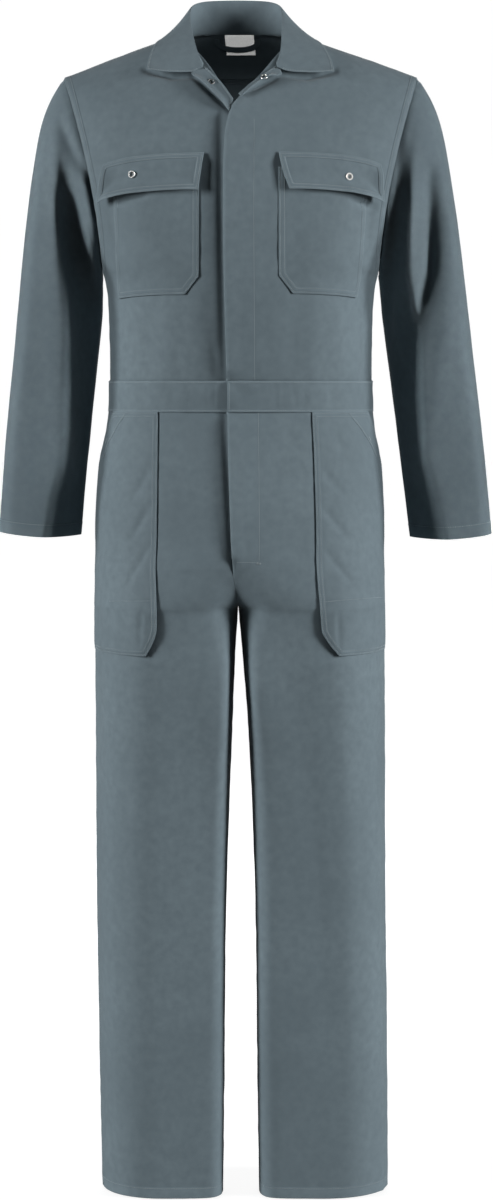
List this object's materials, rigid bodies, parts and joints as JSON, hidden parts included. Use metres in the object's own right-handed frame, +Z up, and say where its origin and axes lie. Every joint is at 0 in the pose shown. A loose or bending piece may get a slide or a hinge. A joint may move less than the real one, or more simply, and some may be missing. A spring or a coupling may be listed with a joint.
{
  "type": "boiler suit",
  "caption": "Long-sleeved one-piece work suit, filled out and hollow: turned-down collar, covered snap front, waistband, flapped chest pockets and hip patch pockets, worn over the whole body.",
  "frame": {"origin": "on the centre plane, level with the neck ends of the shoulder seams, where the wearer's shoulders hold the suit up", "axes": "+Z up, the front faces -Y, +X towards the wearer's left"},
  "size_m": [0.6775, 0.2911, 1.6478],
  "materials": {
    "twill": "matt bluish grey polyester and cotton twill",
    "label_cloth": "smooth white label tape, bare",
    "snap_metal": "nickel-plated snap rings"
  },
  "bodies": {
    "root": {"front_right": "twill", "front_left": "twill", "sleeve_right": "twill", "sleeve_left": "twill", "lapel_right": "twill", "lapel_left": "twill", "waistband_right": "twill", "waistband_left": "twill", "trouser_front_right": "twill", "trouser_front_left": "twill", "trouser_back_right": "twill", "trouser_back_left": "twill", "chest_pocket_right": "twill", "chest_pocket_left": "twill", "pocket_flap_right": "twill", "pocket_flap_left": "twill", "hip_pocket_right": "twill", "hip_pocket_left": "twill", "back_yoke": "twill", "back": "twill", "collar": "twill", "waistband_back": "twill", "hanger_loop": "twill", "neck_label": "label_cloth", "flap_snap_right": "snap_metal", "flap_snap_left": "snap_metal", "lapel_snap_right": "snap_metal", "lapel_snap_left": "snap_metal"}
  },
  "joints": []
}
